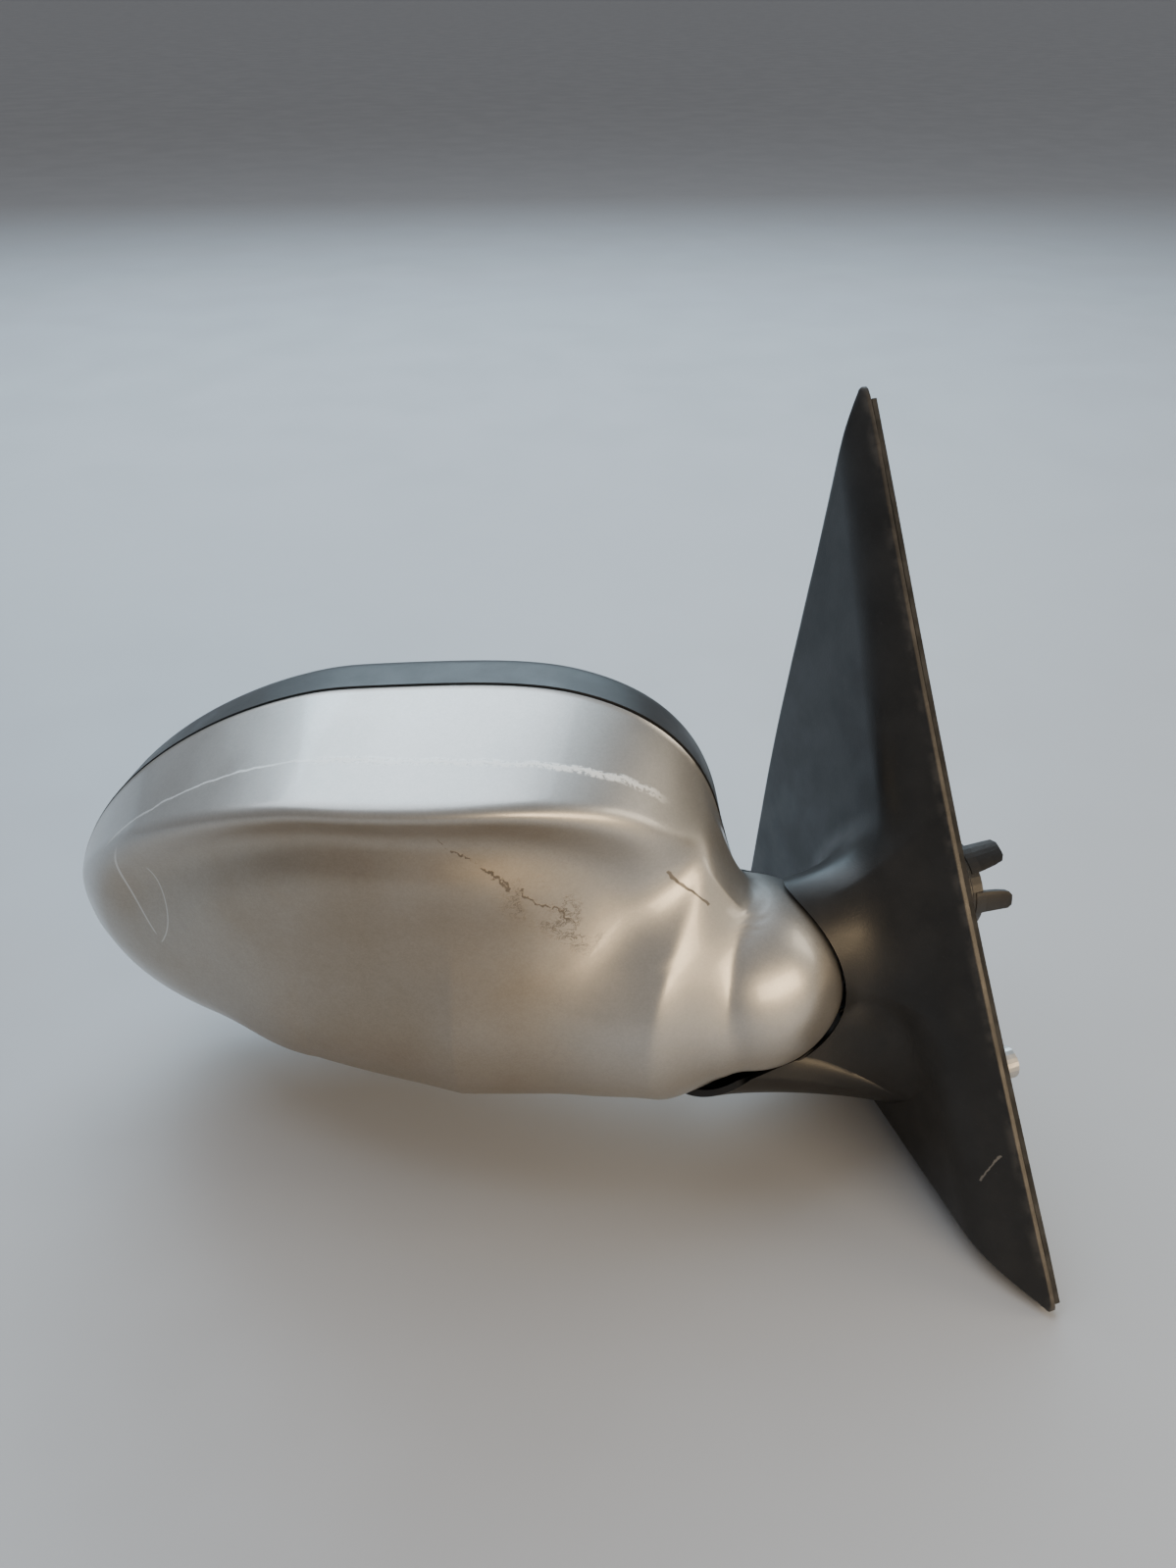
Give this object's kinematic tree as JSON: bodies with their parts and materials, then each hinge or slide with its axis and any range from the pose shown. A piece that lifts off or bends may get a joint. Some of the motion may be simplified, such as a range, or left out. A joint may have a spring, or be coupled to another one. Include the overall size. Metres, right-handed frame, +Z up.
{
  "type": "car side mirror",
  "caption": "Right-hand car door mirror: painted head with powered heated glass, folding on a vertical pivot on a triangular black door base with a cable plug.",
  "frame": {"origin": "on the door-side mounting face, level with the base arm's axis", "axes": "+X into the door (outward normal of the mounting face), +Y to the rear of the car, +Z up"},
  "size_m": [0.27, 0.2269, 0.2194],
  "materials": {
    "silver_paint": "metallic silver paint under clear lacquer",
    "black_grained": "fine grained moulded plastic",
    "black_satin": "satin moulded plastic",
    "rubber": "soft matt",
    "cast_alloy": "as cast",
    "steel": "plain",
    "zinc_screw": "zinc plated",
    "mirror_silver": "silvered glass",
    "heater_film": "copper coloured film",
    "grey_plastic": "moulded, plain",
    "white_plastic": "natural acetal",
    "brass": "turned"
  },
  "bodies": {
    "base": {"base_cover": "black_grained", "base_bracket": "cast_alloy", "door_gasket": "rubber", "plug_body": "black_satin", "contact_block": "grey_plastic", "plug_seal": "rubber", "pivot_tube": "steel", "detent_ring": "steel", "pivot_washer": "steel", "pivot_spring": "steel", "retaining_clip": "steel", "base_lead": "rubber"},
    "lock": {"plug_lock_ring": "black_satin"},
    "head": {"painted_cap": "silver_paint", "housing_frame": "black_grained", "head_carrier": "grey_plastic", "frame_screw_1": "zinc_screw", "frame_screw_2": "zinc_screw", "frame_screw_3": "zinc_screw", "frame_screw_4": "zinc_screw", "adjuster_base": "grey_plastic", "adjuster_cover": "grey_plastic", "adjuster_screw_1": "zinc_screw", "adjuster_screw_2": "zinc_screw", "adjuster_screw_3": "zinc_screw", "pan_motor": "steel", "tilt_motor": "steel", "head_lead": "rubber"},
    "gimbal": {"gimbal_cross": "white_plastic"},
    "glass": {"mirror_glass": "mirror_silver", "heater_film": "heater_film", "glass_backing": "black_satin"},
    "pan_rod": {"pan_plunger": "white_plastic"},
    "tilt_rod": {"tilt_plunger": "white_plastic"},
    "pan_gear": {"pan_wheel": "white_plastic"},
    "tilt_gear": {"tilt_wheel": "white_plastic"},
    "pan_spindle": {"pan_worm": "brass"},
    "tilt_spindle": {"tilt_worm": "brass"}
  },
  "joints": [
    {"name": "head_fold", "type": "hinge", "parent": "base", "child": "head", "pos_m": [-0.0556, 0, 0], "axis": [0, 0, 1], "range_deg": [-24, 55]},
    {"name": "glass_tilt", "type": "hinge", "parent": "head", "child": "gimbal", "pos_m": [-0.14501, 0.05732, 0.025], "axis": [0.9135, -0.4067, 0], "range_deg": [-5, 5]},
    {"name": "glass_pan", "type": "hinge", "parent": "gimbal", "child": "glass", "pos_m": [-0.14501, 0.05732, 0.025], "axis": [0, 0, 1], "range_deg": [-5, 5]},
    {"name": "plug_lock", "type": "hinge", "parent": "base", "child": "lock", "pos_m": [0, -0.01, 0.026], "axis": [1, 0, 0], "range_deg": [0, 45]},
    {"name": "pan_rod_slide", "type": "slide", "parent": "head", "child": "pan_rod", "axis": [0.4067, 0.9135, 0], "range_m": [-0.0024, 0.0024]},
    {"name": "tilt_rod_slide", "type": "slide", "parent": "head", "child": "tilt_rod", "axis": [0.4067, 0.9135, 0], "range_m": [-0.0024, 0.0024]},
    {"name": "pan_gear_spin", "type": "hinge", "parent": "head", "child": "pan_gear", "pos_m": [-0.16979, 0.05084, 0.025], "axis": [0.4067, 0.9135, 0], "range_deg": [-80.11, 80.11]},
    {"name": "tilt_gear_spin", "type": "hinge", "parent": "head", "child": "tilt_gear", "pos_m": [-0.15152, 0.04271, 0.045], "axis": [0.4067, 0.9135, 0], "range_deg": [-80.11, 80.11]},
    {"name": "pan_worm_spin", "type": "hinge", "parent": "head", "child": "pan_spindle", "pos_m": [-0.16011, 0.04653, 0.025], "axis": [0, 0, 1], "range_deg": [-640.88, 640.88]},
    {"name": "tilt_worm_spin", "type": "hinge", "parent": "head", "child": "tilt_spindle", "pos_m": [-0.15152, 0.04271, 0.0344], "axis": [-0.9135, 0.4067, 0], "range_deg": [-640.88, 640.88]}
  ],
  "couplings": [
    {"joint": "pan_rod_slide", "follows": "glass_pan", "m_per_rad": -0.02},
    {"joint": "tilt_rod_slide", "follows": "glass_tilt", "m_per_rad": -0.02},
    {"joint": "pan_gear_spin", "follows": "glass_pan", "ratio": -15.708},
    {"joint": "tilt_gear_spin", "follows": "glass_tilt", "ratio": -15.708},
    {"joint": "pan_worm_spin", "follows": "glass_pan", "ratio": -125.66},
    {"joint": "tilt_worm_spin", "follows": "glass_tilt", "ratio": 125.66}
  ]
}
